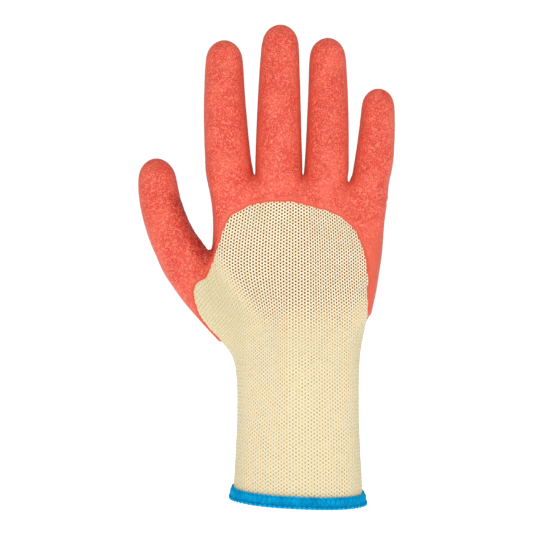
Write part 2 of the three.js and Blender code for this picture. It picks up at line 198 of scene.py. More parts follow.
def buildForm():
    skin = outerSkin()
    levels = gloveForm["subdivisions"]
    applyModifier(skin, "SUBSURF", levels=levels, render_levels=levels,
                  boundary_smooth="PRESERVE_CORNERS")
    # Drawn out below the hem and capped, so that the remesh has a closed body
    pick(skin)
    bpy.ops.object.mode_set(mode="EDIT")
    bpy.ops.mesh.select_mode(type="EDGE")
    bpy.ops.mesh.select_all(action="DESELECT")
    bpy.ops.mesh.select_non_manifold()
    bpy.ops.mesh.extrude_edges_move(TRANSFORM_OT_translate={"value": (0, 0, -gloveForm["drawnOut"])})
    bpy.ops.mesh.edge_face_add()
    bpy.ops.mesh.select_all(action="SELECT")
    bpy.ops.mesh.normals_make_consistent(inside=False)
    bpy.ops.object.mode_set(mode="OBJECT")
    applyModifier(skin, "REMESH", mode="VOXEL", voxel_size=gloveForm["voxel"], use_smooth_shade=True)
    places = pointsOf(skin)
    ledge = smoothStep(*gloveForm["ledgeFrom"], places[:, 2])
    ledge *= 1 - smoothStep(*gloveForm["ledgeTo"], places[:, 2])
    places[:, 0] -= gloveForm["ledge"] * ledge * smoothStep(*gloveForm["ledgeSide"], places[:, 0])
    movePoints(skin, places)
    applyModifier(skin, "SMOOTH", factor=0.5, iterations=gloveForm["smoothing"])
    report(f"form has {len(skin.data.polygons)} faces")
    return skin


def treeOf(piece):
    return BVHTree.FromObject(piece, bpy.context.evaluated_depsgraph_get())


# Edge of the latex: how far a point of the knit lies inside the dip, or outside it if negative

coatEdge = {
    "top": 172 * mm,  # above this everything is dipped
    "foot": 80 * mm,  # and below this nothing is
    "reach": 2.5 * mm,
    "near": 0.9 * mm,
    "evening": 8,
    "beside": 8,  # points of the edge that one distance is measured from
    "close": 2.5 * mm,
    "back": 1.1 * mm,  # the dip stops this far short of the solid's edge
    "corner": (34 * mm, 160 * mm),  # past this corner of x and z everything is dipped too
    "ripples": ((2.4 * mm, 0.9 * mm), (7 * mm, 1.5 * mm)),  # size and swing of the edge's waves
}


def pointTree(places):
    tree = KDTree(len(places))
    for i, place in enumerate(places):
        tree.insert(place, i)
    tree.balance()
    return tree


def inBand(places):
    return np.flatnonzero((places[:, 2] <= coatEdge["top"]) & (places[:, 2] > coatEdge["foot"]))


class EdgeRuler:
    def __init__(self, piece):
        places, normals = pointsOf(piece), normalsOf(piece)
        coat = treeOf(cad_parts["latex_coating"])
        dipped = np.where(places[:, 2] > coatEdge["top"], 1.0, -1.0)
        for i in inBand(places):
            place, normal = Vector(places[i]), Vector(normals[i])
            over = coat.ray_cast(place - normal * 0.3 * mm, normal, coatEdge["reach"])[0]
            if over is not None or coat.find_nearest(place, coatEdge["near"])[0] is not None:
                dipped[i] = 1
        dipped[(places[:, [0, 2]] > coatEdge["corner"]).all(axis=1)] = 1
        # Evened out over the form, so that the edge is a smooth line between its points
        edges = np.empty(len(piece.data.edges) * 2, dtype=np.int32)
        piece.data.edges.foreach_get("vertices", edges)
        first, second = edges.reshape(-1, 2).T
        links = np.bincount(edges, minlength=len(places))
        for _ in range(coatEdge["evening"]):
            around = np.bincount(first, dipped[second], len(places))
            around += np.bincount(second, dipped[first], len(places))
            dipped = (dipped + around / links) / 2
        across = (dipped[first] > 0) != (dipped[second] > 0)
        first, second = first[across], second[across]
        share = dipped[first] / (dipped[first] - dipped[second])
        step = places[second] - places[first]
        self.places = places[first] + step * share[:, None]
        self.ways = unit(step) * np.sign(dipped[second])[:, None]  # towards the dip
        self.dipped = dipped
        self.edgeTree, self.formTree = pointTree(self.places), pointTree(places)

    def measure(self, places):
        found = np.where(places[:, 2] > coatEdge["top"], 1.0, -1.0)
        band = inBand(places)
        beside, away, sides = [], [], []
        for place in places[band]:
            nearest = self.edgeTree.find_n(place, coatEdge["beside"])
            beside.append([number for _, number, _ in nearest])
            away.append(nearest[0][2])
            sides.append(self.formTree.find(place)[1])
        beside, away = np.array(beside), np.array(away)
        ways = unit(self.ways[beside].mean(axis=1))
        exact = ((places[band] - self.places[beside].mean(axis=1)) * ways).sum(axis=1)
        found[band] = np.where(away < coatEdge["close"], exact, away * np.sign(self.dipped[sides]))
        found -= coatEdge["back"]
        for seed, (size, swing) in enumerate(coatEdge["ripples"], start=21):
            found += (softNoise(places, size, seed) - 0.5) * swing
        return found


form = buildForm()
edgeRuler = EdgeRuler(form)
report("edge of the latex is measured")


# Knit: sheets of stitches whose mesh rows run along the legs of the stitches

knit = {
    "wales": 60,  # round the cuff
    "columns": 8,  # mesh columns for each wale
    "rows": 4,  # mesh rows for each course
    "rise": 1.5,  # courses that a leg climbs from the middle of its wale to its side
    "pitch": 3.28 * mm,  # of a wale on the back of the hand
    "sidePitch": 2.3 * mm,  # drawn together at the thumb side of the wrist
    "cuffPitch": 2.9 * mm,  # and less at the sides of the cuff
    "drawnFrom": (25 * mm, 74 * mm),
    "spreadFrom": (94 * mm, 130 * mm),
    "rightShare": 0.4,  # how much of that drawing together reaches the little finger's side
    "rightPitch": 2.6 * mm,  # closer on the little finger's half of the hand
    "narrowing": 0.1,  # wales close up by this share towards the knuckles
    "narrowFrom": (130 * mm, 172 * mm),
    "plainWales": 2,  # these stay straight on either side of the middle
    "leftWales": -22,  # the back of the hand holds these wales
    "rightWales": 17,
    "course": 1.78 * mm,
    "cuffCourse": 2.03 * mm,
    "foot": 2.4 * mm,
    "cuffCourses": 36,
    "handCourses": 53,
    "legHeight": 0.42 * mm,
    "legFoot": 0.45,  # share of it at the foot of a leg
    "uneven": 0.2,
    "pitDepth": 0.55 * mm,
    "closedPits": 0.25,  # share of the depth that is left where the stitches close up
    "pitWidth": 0.56 * mm,  # half of it
    "pitHeight": 0.56 * mm,
    "pitSlope": (0.35, 1.25),  # from its floor to its rim, in these sizes
    "backing": 0.55 * mm,
    "kept": 0.56,  # share of the triangles left once the inner side is thinned out
    "slope": 3.1 / 65.6,  # of the hem
    "wrist": 75.3 * mm,
    "underLatex": 4.5 * mm,  # the knit goes on this far under the latex
    "flatBy": 1.5 * mm,  # and is flat from here on
    "sunk": 0.35 * mm,
    "sunkFrom": (0.3 * mm, 2 * mm),
}
sections = {"step": 1 * mm, "middle": 2 * mm, "jump": 3 * mm}


def heightOfCourse(course):
    cuffTop = knit["cuffCourses"]
    low = knit["foot"] + np.minimum(course, cuffTop) * knit["cuffCourse"]
    return low + np.maximum(course - cuffTop, 0) * knit["course"]


def arcOfWales(wales, height):
    # Distance along the back of the hand from its middle line to each wale
    spread = smoothStep(*knit["spreadFrom"], height)
    cuff = smoothStep(*knit["drawnFrom"], height)
    drawn = knit["cuffPitch"] + (knit["sidePitch"] - knit["cuffPitch"]) * cuff
    left = drawn + (knit["pitch"] - drawn) * spread
    right = knit["pitch"] + (drawn - knit["pitch"]) * knit["rightShare"] * (1 - spread)
    right += (knit["rightPitch"] - knit["pitch"]) * spread
    narrow = 1 - knit["narrowing"] * smoothStep(*knit["narrowFrom"], height)
    plain = np.clip(wales, -knit["plainWales"], knit["plainWales"])
    rest = wales - plain
    return narrow * (plain * knit["pitch"] + np.where(rest < 0, rest * left, rest * right))


def alongLine(places):
    steps = np.linalg.norm(np.diff(places, axis=0), axis=1)
    return np.concatenate([[0], np.cumsum(steps)])


def pickAlong(places, arcs, wanted):
    return np.stack([np.interp(wanted, arcs, places[:, k]) for k in range(3)], axis=1)


class FormOutlines:
    # The form's closed outline at a height, from the middle of its back towards the little finger
    def __init__(self, piece):
        piece.data.calc_loop_triangles()
        flat = np.empty(len(piece.data.loop_triangles) * 3, dtype=np.int32)
        piece.data.loop_triangles.foreach_get("vertices", flat)
        self.triangles = flat.reshape(-1, 3).astype(np.int64)
        self.places = pointsOf(piece)

    def crossings(self, height):
        # Where the edges cross the height, and the two crossings next to each one
        above = self.places[:, 2] > height
        corners = above[self.triangles].sum(axis=1)
        cut = self.triangles[(corners > 0) & (corners < 3)]
        edges = np.stack([cut, np.roll(cut, -1, axis=1)], axis=-1)
        edges = edges[above[edges[..., 0]] != above[edges[..., 1]]].reshape(-1, 2, 2)
        edges.sort(axis=-1)
        total = len(self.places)
        keys, number = np.unique(edges[..., 0] * total + edges[..., 1], return_inverse=True)
        low, high = self.places[keys // total], self.places[keys % total]
        share = (height - low[:, 2:]) / (high[:, 2:] - low[:, 2:])
        pairs = number.reshape(-1, 2)
        pairs = np.concatenate([pairs, pairs[:, ::-1]])
        pairs = pairs[np.argsort(pairs[:, 0], kind="stable")]
        first = np.searchsorted(pairs[:, 0], np.arange(len(keys)))
        return low + (high - low) * share, np.stack([pairs[first, 1], pairs[first + 1, 1]], axis=1)

    def at(self, height):
        places, beside = self.crossings(height)
        back = np.where(np.abs(places[:, 0]) < sections["middle"], places[:, 1], 1)
        start = int(np.argmin(back))
        here = int(max(beside[start], key=lambda i: places[i, 0]))
        line = [start]
        while here != start and len(line) <= len(places):
            one, other = beside[here]
            following = int(other if one == line[-1] else one)
            line.append(here)
            here = following
        return places[line + [start]]


def handSection(outlines, height, wales):
    places = outlines.at(height)
    arcs = alongLine(places)
    left = float(arcOfWales(np.array(knit["leftWales"]), height))
    right = float(arcOfWales(np.array(knit["rightWales"]), height))
    palm = (wales - knit["rightWales"]) / (knit["wales"] + knit["leftWales"] - knit["rightWales"])
    wanted = np.where(wales <= knit["rightWales"], arcOfWales(wales, height),
                      right + palm * (arcs[-1] + left - right))
    return pickAlong(places, arcs, np.mod(wanted - places[0, 0], arcs[-1]))


class KnitSurface:
    # Places and outward directions of every mesh column, section by section up the glove
    def __init__(self, outlines, low, high):
        count = int(round((high - low) / sections["step"])) + 1
        self.low, self.high = low, high
        self.heights = np.linspace(low, high, count)
        columns = knit["wales"] * knit["columns"]
        self.wales = knit["leftWales"] + np.arange(columns) / knit["columns"]
        self.places = np.array([handSection(outlines, height, self.wales) for height in self.heights])
        # Over the fork of the thumb a column jumps to the other side, so it has no place there
        jumps = np.linalg.norm(np.diff(self.places, axis=0), axis=2) > sections["jump"]
        self.places[:-1][jumps] = np.nan
        self.places[1:][jumps] = np.nan
        across = np.roll(self.places, -2, axis=1) - np.roll(self.places, 2, axis=1)
        self.normals = unit(np.cross(across, np.gradient(self.places, axis=0)))

    def at(self, table, heights):
        # Every column at its own height, read between the two nearest sections
        share = (heights - self.low) / (self.high - self.low) * (len(self.heights) - 1)
        share = np.clip(share, 0, len(self.heights) - 1.001)
        lower = share.astype(int)
        share = (share - lower)[..., None]
        columns = np.arange(heights.shape[1])
        return table[lower, columns] * (1 - share) + table[lower + 1, columns] * share


def fromMiddle(value):
    return value - np.floor(value) - 0.5


def pitShape(wales, course):
    # 1 in the middle of a pit, 0 outside. Pits stand in the middle of each wale and between wales.
    shares = []
    for shift in (0, 0.5):
        across = fromMiddle(wales + shift) * knit["pitch"] / knit["pitWidth"]
        up = fromMiddle(course + shift) * knit["course"] / knit["pitHeight"]
        shares.append(1 - smoothStep(*knit["pitSlope"], np.hypot(across, up)))
    return np.maximum(*shares)


def stitchRelief(phase, side, wales, course, openShare):
    # Height of the yarn over the middle of the fabric: round legs, and pits between them
    groove = 1 - np.abs(2 * fromMiddle(phase))  # 0 on a leg, 1 half-way to the next
    leg = knit["legHeight"] * mixed(knit["legFoot"], np.sin(math.pi * side)) * (1 - groove ** 2)
    cells = np.stack([np.floor(wales * 2), np.floor(phase), np.zeros_like(wales)], axis=-1)
    depth = knit["pitDepth"] * mixed(knit["closedPits"], openShare)
    return leg * uneven(knit["uneven"], cells, 3) - depth * pitShape(wales, course)


def knitSheet(name, surface, firstCourse, courses, ruler=None):
    rows = courses * knit["rows"] + 1
    columns = len(surface.wales)
    side = np.abs(2 * fromMiddle(surface.wales))
    phase = firstCourse + np.arange(rows)[:, None] / knit["rows"] + np.zeros(columns)
    course = phase + knit["rise"] * side
    height = heightOfCourse(course)
    lean = knit["slope"] * np.clip(1 - height / knit["wrist"], 0, 1)
    level = height - lean * np.nan_to_num(surface.at(surface.places, height)[..., 0])
    places = surface.at(surface.places, level)
    normals = surface.at(surface.normals, level)
    wales = np.tile(surface.wales, (rows, 1))
    holes = openHoles(places)
    relief = stitchRelief(phase, np.tile(side, (rows, 1)), wales, course, holes)
    inside = np.full((rows, columns), -1.0)
    if ruler:
        flat = places.reshape(-1, 3)
        good = ~np.isnan(flat + normals.reshape(-1, 3)).any(axis=1)
        measured = np.full(len(flat), 1.0)
        measured[good] = ruler.measure(flat[good])
        inside = measured.reshape(rows, columns)
    relief *= 1 - smoothStep(0, knit["flatBy"], inside)
    relief -= knit["sunk"] * smoothStep(*knit["sunkFrom"], inside)
    places = places + normals * relief[..., None]
    usable = ~np.isnan(places[..., 0]) & (inside < knit["underLatex"])
    return gridPiece(name, places, usable, wales, course, {"inside": inside, "open": holes})


openness = {
    "window": (86 * mm, 118 * mm),  # the stitches open between these heights
    "thumbCorner": (-45.6 * mm, 133.5 * mm),  # and stay closed on the thumb's side of a line from here
    "thumbSlope": 0.68,
    "thumbFade": (-9 * mm, 8 * mm),
    "sides": (25 * mm, 33 * mm),  # and at the sides of the cuff
    "cuff": 0.4,  # how open they are where they are closed
    "side": 0.35,
    "thumb": 0.25,
}


def openHoles(places):
    # How open the stitches are and how dark the holes between them look, from 0 to 1
    across, _, up = np.moveaxis(places, -1, 0)
    window = smoothStep(*openness["window"], up)
    cornerAcross, cornerUp = openness["thumbCorner"]
    beyond = across - cornerAcross - openness["thumbSlope"] * (cornerUp - up)
    thumb = smoothStep(*openness["thumbFade"], beyond)
    sides = 1 - smoothStep(*openness["sides"], np.abs(across)) * (1 - window)
    strength = mixed(openness["cuff"], window * thumb) * mixed(openness["side"], sides)
    return strength * mixed(openness["thumb"], np.maximum(thumb, 1 - window))


def gridPiece(name, places, usable, wales, course, attributes):
    # Quads wherever all four corners are in use. The last column meets the first.
    columns = usable.shape[1]
    following = (np.arange(columns) + 1) % columns
    whole = usable[:-1] & usable[1:]
    whole = whole & whole[:, following]
    row, column = np.nonzero(whole)
    corners = np.stack([row * columns + column, row * columns + following[column],
                        (row + 1) * columns + following[column], (row + 1) * columns + column], axis=1)
    used, flat = np.unique(corners, return_inverse=True)
    faces = flat.reshape(-1, 4)
    mesh = bpy.data.meshes.new(name)
    mesh.from_pydata(places.reshape(-1, 3)[used].tolist(), [], faces.tolist())
    wraps = np.where(following[column] == 0, columns / knit["columns"], 0)
    across = wales.ravel()[corners]
    across[:, 1] += wraps
    across[:, 2] += wraps
    layer = mesh.uv_layers.new(name="stitches")
    stitches = np.stack([across, course.ravel()[corners]], axis=-1)
    layer.data.foreach_set("uv", stitches.astype(np.float32).ravel())
    piece = bpy.data.objects.new(name, mesh)
    bpy.context.collection.objects.link(piece)
    for label, values in attributes.items():
        setAttribute(piece, label, values.ravel()[used])
    shadeSmooth(piece)
    return piece


def closeShell(piece, thickness, keep):
    # Gives an open sheet its thickness, and thins out the mesh of its inner side
    applyModifier(piece, "SOLIDIFY", thickness=thickness, offset=-1, use_rim=True, use_even_offset=False,
                  shell_vertex_group=piece.vertex_groups.new(name="inner").name)
    before = triangleCount(piece)
    applyModifier(piece, "DECIMATE", ratio=keep, vertex_group="inner", vertex_group_factor=1000)
    piece.vertex_groups.clear()
    report(f"{piece.name} has {triangleCount(piece)} of {before} triangles")


formOutlines = FormOutlines(form)
knitSurface = KnitSurface(formOutlines, 0.5 * mm, coatEdge["top"])
report("sections are read")
knitCuff = knitSheet("knitCuff", knitSurface, 0, knit["cuffCourses"])
knitHand = knitSheet("knitHand", knitSurface, knit["cuffCourses"], knit["handCourses"], edgeRuler)
for sheet in (knitCuff, knitHand):
    closeShell(sheet, knit["backing"], knit["kept"])


# The inside of the liner: a plain wall under the stitches, all the way up the fingers

core = {
    "voxel": 1.6 * mm,
    "smoothing": 3,
    "depth": 0.75 * mm,  # under the form
    "wall": 0.7 * mm,
    "foot": 3.2 * mm,
}


def makeLinerInside():
    piece = copyPiece(form, "linerInside")
    applyModifier(piece, "REMESH", mode="VOXEL", voxel_size=core["voxel"], use_smooth_shade=True)
    applyModifier(piece, "SMOOTH", factor=0.5, iterations=core["smoothing"])
    movePoints(piece, pointsOf(piece) - normalsOf(piece) * core["depth"])
    pick(piece)
    bpy.ops.object.mode_set(mode="EDIT")
    bpy.ops.mesh.select_all(action="SELECT")
    bpy.ops.mesh.bisect(plane_co=(0, 0, core["foot"]), plane_no=(knit["slope"], 0, 1), clear_inner=True)
    bpy.ops.object.mode_set(mode="OBJECT")
    applyModifier(piece, "SOLIDIFY", thickness=core["wall"], offset=-1, use_rim=True)
    shadeSmooth(piece)
    return piece


# Latex: a skin over the fingers, the palm and the knuckles, crinkled as it cured

latex = {
    "lift": 1.25 * mm,  # over the form
    "fingerLift": 1.0 * mm,  # more on the fingers, which the remesh made thinner
    "fingersFrom": (160 * mm, 186 * mm),
    "besideThumb": (-62 * mm, -54 * mm),  # the thumb keeps the plain lift
    "littleFrom": (32 * mm, 38 * mm),
    "littleShare": 0.55,  # the little finger takes this much of the fingers' lift
    "sideLift": 1.4 * mm,  # and on the little finger's side of the hand
    "sideFrom": (34 * mm, 41 * mm),
    "sideTo": (132 * mm, 158 * mm),
    "calmSide": 0.85,  # that side is this much smoother
    "facing": (0.25, 0.75),  # the sides of the fingers face away from the back and the palm
    "calmFingers": 0.4,  # and keep this share of the creases
    "fork": ((-63 * mm, 164 * mm), (-49 * mm, 137 * mm)),  # deep creases along this line of x and z
    "forkReach": (1.5 * mm, 11 * mm),
    "forkDepth": 0.9,  # deeper there by this share
    "soaked": -0.7 * mm,  # past the edge the skin runs down into the knit
    "edgeRun": (-1.3 * mm, 1.0 * mm),
    "keepTo": -2.2 * mm,
    "refineTo": 3 * mm,
    "smoothEdge": 2.5 * mm,  # creases fade out over this
    "wall": 0.75 * mm,
    "kept": 0.6,
    "crinkle": 2.0 * mm,
    "crinkleHeight": 0.26 * mm,
    "crinkleLevel": 0.75,  # what lies lower than this in the pattern is a crease
    "sharpness": 0.7,
    "warp": 3.1 * mm,
    "warpSwing": 2.4 * mm,
    "secondScale": 1.37,  # the second set of creases lies closer and is fainter
    "secondHeight": 1.25,
    "undulation": 9 * mm,
    "undulationHeight": 0.28 * mm,
}


def crinkles(places):
    # Short creases between soft pads, from noise folded about its middle
    warp = np.stack([softNoise(places, latex["warp"], seed) for seed in (11, 12, 13)], axis=1) - 0.5
    bent = places + warp * latex["warpSwing"]
    first = np.abs(softNoise(bent, latex["crinkle"], 1) - 0.5) * 2
    second = np.abs(softNoise(bent * latex["secondScale"], latex["crinkle"], 2) - 0.5) * 2
    return np.minimum(first, second * latex["secondHeight"]) ** latex["sharpness"]


def awayFromLine(places, start, end):
    start, way = np.array(start), np.array(end) - np.array(start)
    share = np.clip((places - start) @ way / (way @ way), 0, 1)
    return np.linalg.norm(places - start - share[:, None] * way, axis=1)


def makeLatexDip():
    piece = copyPiece(form, "latexDip")
    setAttribute(piece, "inside", edgeRuler.measure(pointsOf(piece)))
    work = bmesh.new()
    work.from_mesh(piece.data)
    inside = work.verts.layers.float["inside"]
    bare = [v for v in work.verts if v[inside] < latex["keepTo"]]
    bmesh.ops.delete(work, geom=bare, context="VERTS")
    near = [e for e in work.edges if all(abs(v[inside]) < latex["refineTo"] for v in e.verts)]
    bmesh.ops.subdivide_edges(work, edges=near, cuts=1, use_grid_fill=True, smooth=0)
    work.to_mesh(piece.data)
    work.free()
    values = np.empty(len(piece.data.vertices), dtype=np.float32)
    piece.data.attributes["inside"].data.foreach_get("value", values)
    places, normals = pointsOf(piece), normalsOf(piece)
    across, up = places[:, 0], places[:, 2]
    run = smoothStep(*latex["edgeRun"], values.astype(float))
    fingers = smoothStep(*latex["fingersFrom"], up) * smoothStep(*latex["besideThumb"], across)
    fingers *= 1 - (1 - latex["littleShare"]) * smoothStep(*latex["littleFrom"], across)
    side = smoothStep(*latex["sideFrom"], across) * (1 - smoothStep(*latex["sideTo"], up))
    lift = latex["lift"] + latex["fingerLift"] * fingers + latex["sideLift"] * side
    offset = latex["soaked"] + (lift - latex["soaked"]) * run
    facing = mixed(latex["calmFingers"], smoothStep(*latex["facing"], np.abs(normals[:, 1])))
    facing *= 1 - latex["calmSide"] * side
    deep = 1 - smoothStep(*latex["forkReach"], awayFromLine(places[:, [0, 2]], *latex["fork"]))
    share = smoothStep(0, latex["smoothEdge"], values) * np.maximum(facing, deep)
    pattern = crinkles(places)
    swell = softNoise(places, latex["undulation"], 5) - 0.5
    height = latex["crinkleHeight"] * (1 + latex["forkDepth"] * deep)
    offset += share * (height * (pattern - latex["crinkleLevel"]) + latex["undulationHeight"] * swell)
    movePoints(piece, places + normals * offset[:, None])
    setAttribute(piece, "crease", 1 - pattern)
    setAttribute(piece, "crinkled", share)
    setAttribute(piece, "deep", deep)
    closeShell(piece, latex["wall"], latex["kept"])
    shadeSmooth(piece)
    return piece


# Hem: overlock stitches wrapped round a band of thread, with two cords running along it

hem = {
    "height": 6.6 * mm,
    "outside": 2.2 * mm,  # out of the knit
    "inside": 2.8 * mm,  # into the cuff, the knit's wall included
    "stitches": 76,
    "strands": 3,
    "strandRadius": 0.4 * mm,
    "strandPoints": 22,
    "bandColumns": 320,
    "bandPoints": 28,
    "cordPoints": 8,  # for each stitch
    "sides": 5,
    "squareness": 2.5,
    "slant": 1.3 * mm,  # a stitch leans this far along the band from its foot to its head
    "gather": 0.42,  # strands close up to this share of their spacing at the needle holes
    "gatherFrom": (0.45, 1),  # shares of the height
    "sag": 0.55 * mm,  # the outer strands of a stitch end this much lower
    "sagFrom": (0.6, 1),
    "drift": 0.05,  # strands wander by this much of a stitch
    "loose": 0.3 * mm,
    "thickness": 0.1,
    "cords": ({"out": 2.55 * mm, "up": 1.1 * mm, "swing": 0.5 * mm, "radius": 0.5 * mm},
              {"out": 1.2 * mm, "up": 6.35 * mm, "swing": 0.3 * mm, "radius": 0.36 * mm}),
}


def hemCurve():
    # The cuff's outline at the hem as a function of the distance round it, and its girth
    places = formOutlines.at(hem["height"] / 2)
    arcs = alongLine(places)

    def at(arc):
        arc = np.mod(arc, arcs[-1])
        return np.stack([np.interp(arc, arcs, places[:, k]) for k in range(2)], axis=-1)

    return at, arcs[-1]


def bandPlace(at, arc, out, up):
    # A point of the band: arc round the cuff, out from the knit, up from the hem's foot
    step = 0.8 * mm
    middle = at(arc)
    along = unit(at(arc + step) - at(arc - step))
    outward = np.stack([along[..., 1], -along[..., 0]], axis=-1)
    flat = middle + outward * out[..., None]
    height = up - knit["slope"] * middle[..., 0]
    return np.concatenate([flat, height[..., None]], axis=-1)


def bandSection(turns, inset):
    middle = (hem["outside"] - hem["inside"]) / 2
    halfWidth = (hem["outside"] + hem["inside"]) / 2 - inset
    halfHeight = hem["height"] / 2 - inset
    power = 2 / hem["squareness"]
    out = middle + halfWidth * np.sign(np.cos(turns)) * np.abs(np.cos(turns)) ** power
    up = hem["height"] / 2 + halfHeight * np.sign(np.sin(turns)) * np.abs(np.sin(turns)) ** power
    return out, up


def ringFaces(count, points, sides):
    # Quads between the neighbouring rings of closed tubes
    tube, point, side = np.indices((count, points, sides))

    def number(p, s):
        return (tube * points + p % points) * sides + s % sides

    faces = np.stack([number(point, side), number(point, side + 1),
                      number(point + 1, side + 1), number(point + 1, side)], axis=-1)
    return faces.reshape(-1, 4)


def tubeMesh(paths, radii, sides):
    # Closed tubes along closed paths, as one list of places and one of faces
    count, points = paths.shape[:2]
    along = unit(np.roll(paths, -1, axis=1) - np.roll(paths, 1, axis=1))
    reference = paths - paths.mean(axis=1, keepdims=True)
    side = unit(np.cross(along, reference))
    face = np.cross(side, along)
    turns = np.arange(sides) * 2 * math.pi / sides
    rings = (paths[:, :, None] + radii[..., None, None] * (
        side[:, :, None] * np.cos(turns)[:, None] + face[:, :, None] * np.sin(turns)[:, None]))
    return rings.reshape(-1, 3), ringFaces(count, points, sides)


def joinedPiece(name, parts):
    places, faces, total = [], [], 0
    for some, quads in parts:
        places.append(some)
        faces.append(quads + total)
        total += len(some)
    mesh = bpy.data.meshes.new(name)
    mesh.from_pydata(np.concatenate(places).tolist(), [], np.concatenate(faces).tolist())
    piece = bpy.data.objects.new(name, mesh)
    bpy.context.collection.objects.link(piece)
    pick(piece)
    bpy.ops.object.mode_set(mode="EDIT")
    bpy.ops.mesh.select_all(action="SELECT")
    bpy.ops.mesh.normals_make_consistent(inside=False)
    bpy.ops.object.mode_set(mode="OBJECT")
    shadeSmooth(piece)
    return piece


def hemBand(at, girth):
    columns, points = hem["bandColumns"], hem["bandPoints"]
    arcs = np.arange(columns)[:, None] * girth / columns + np.zeros(points)
    out, up = bandSection(np.arange(points) * 2 * math.pi / points, hem["strandRadius"])
    places = bandPlace(at, arcs, np.tile(out, (columns, 1)), np.tile(up, (columns, 1)))
    return places.reshape(-1, 3), ringFaces(1, columns, points)


def hemStitches(at, girth):
    pitch = girth / hem["stitches"]
    turns = np.arange(hem["strandPoints"]) * 2 * math.pi / hem["strandPoints"]
    number = np.arange(hem["stitches"] * hem["strands"])
    stitch, strand = number // hem["strands"], number % hem["strands"]
    cells = np.stack([stitch, strand, 0 * stitch], axis=1)
    place = (strand - (hem["strands"] - 1) / 2) / hem["strands"]
    out, up = bandSection(turns, hem["strandRadius"] * 0.5)
    share = up / hem["height"]
    close = 1 - (1 - hem["gather"]) * smoothStep(*hem["gatherFrom"], share)
    front = np.cos(turns)
    drift = hem["drift"] * (randomAt(cells, 4)[:, None] - 0.5)
    arcs = pitch * (stitch[:, None] + place[:, None] * close + drift)
    arcs = arcs + hem["slant"] * (share - 0.5) * np.sign(front)
    lift = (randomAt(cells, 6)[:, None] - 0.5) * hem["loose"] * np.maximum(front, 0)
    dip = hem["sag"] * np.abs(place[:, None]) * smoothStep(*hem["sagFrom"], share)
    rows = len(number)
    places = bandPlace(at, arcs, np.tile(out, (rows, 1)) + lift, np.tile(up, (rows, 1)) - dip)
    radii = hem["strandRadius"] * uneven(hem["thickness"], cells, 8)[:, None] * np.ones(len(turns))
    return tubeMesh(places, radii, hem["sides"])


def hemCord(at, girth, cord):
    points = hem["stitches"] * hem["cordPoints"]
    arcs = np.arange(points) * girth / points
    swing = np.sin(2 * math.pi * hem["stitches"] * arcs / girth)
    up = cord["up"] + cord["swing"] * swing
    places = bandPlace(at, arcs[None], np.full((1, points), cord["out"]), up[None])
    return tubeMesh(places, np.full((1, points), cord["radius"]), hem["sides"])


def makeHemThread():
    at, girth = hemCurve()
    parts = [hemBand(at, girth), hemStitches(at, girth)]
    parts += [hemCord(at, girth, cord) for cord in hem["cords"]]
    piece = joinedPiece("hemThread", parts)
    report(f"hemThread has {triangleCount(piece)} triangles")
    return piece


linerInside = makeLinerInside()
latexDip = makeLatexDip()
hemThread = makeHemThread()


# Shader helpers

def addNode(tree, kind, inputs=None, **settings):
    node = tree.nodes.new(kind)
    for name, value in settings.items():
        setattr(node, name, value)
    for socket, value in (inputs or {}).items():
        connect(tree, node.inputs[socket], value)
    return node


def connect(tree, socket, value):
    if isinstance(value, bpy.types.NodeSocket):
        tree.links.new(value, socket)
    else:
        socket.default_value = value


def calc(tree, operation, *values):
    node = addNode(tree, "ShaderNodeMath", operation=operation)
    for socket, value in zip(node.inputs, values):
        connect(tree, socket, value)
    return node.outputs[0]


def mixColour(tree, share, first, second):
    node = addNode(tree, "ShaderNodeMix", data_type="RGBA")
    for socket, value in zip((node.inputs[0], node.inputs[6], node.inputs[7]), (share, first, second)):
        connect(tree, socket, value)
    return node.outputs[2]


def ramp(tree, value, low, high, to=(0, 1)):
    node = addNode(tree, "ShaderNodeMapRange", interpolation_type="SMOOTHSTEP")
    for socket, number in zip(node.inputs, (value, low, high, *to)):
        connect(tree, socket, number)
    return node.outputs[0]


def noise(tree, place, scale, detail=2.0):
    inputs = {"Vector": place, "Scale": scale, "Detail": detail}
    return addNode(tree, "ShaderNodeTexNoise", inputs).outputs[0]


def attribute(tree, name):
    return addNode(tree, "ShaderNodeAttribute", attribute_name=name).outputs["Fac"]


def objectPlace(tree):
    return addNode(tree, "ShaderNodeTexCoord").outputs["Object"]


def zigzag(tree, value):
    # 1 at whole numbers, 0 half-way between them
    return calc(tree, "ABSOLUTE", calc(tree, "MULTIPLY_ADD", calc(tree, "FRACT", value), 2.0, -1.0))


def newMaterial(name, surface):
    material = bpy.data.materials.new(name)
    material.use_nodes = True
    shader = material.node_tree.nodes["Principled BSDF"]
    for socket, value in surface.items():
        shader.inputs[socket].default_value = value
    return material, material.node_tree, shader


def colour(red, green, blue):
    # From the eye's values out of 255 to the renderer's
    def linear(value):
        share = value / 255
        return share / 12.92 if share <= 0.04045 else ((share + 0.055) / 1.055) ** 2.4
    return (linear(red), linear(green), linear(blue), 1)


def finish(piece, material, slot, *replaced):
    piece.data.materials.clear()
    piece.data.materials.append(material)
    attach(piece, "root")
    if replaced:
        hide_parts(*replaced)


def bump(tree, height, strength, distance):
    inputs = {"Height": height, "Strength": strength, "Distance": distance}
    return addNode(tree, "ShaderNodeBump", inputs).outputs[0]


# Knit

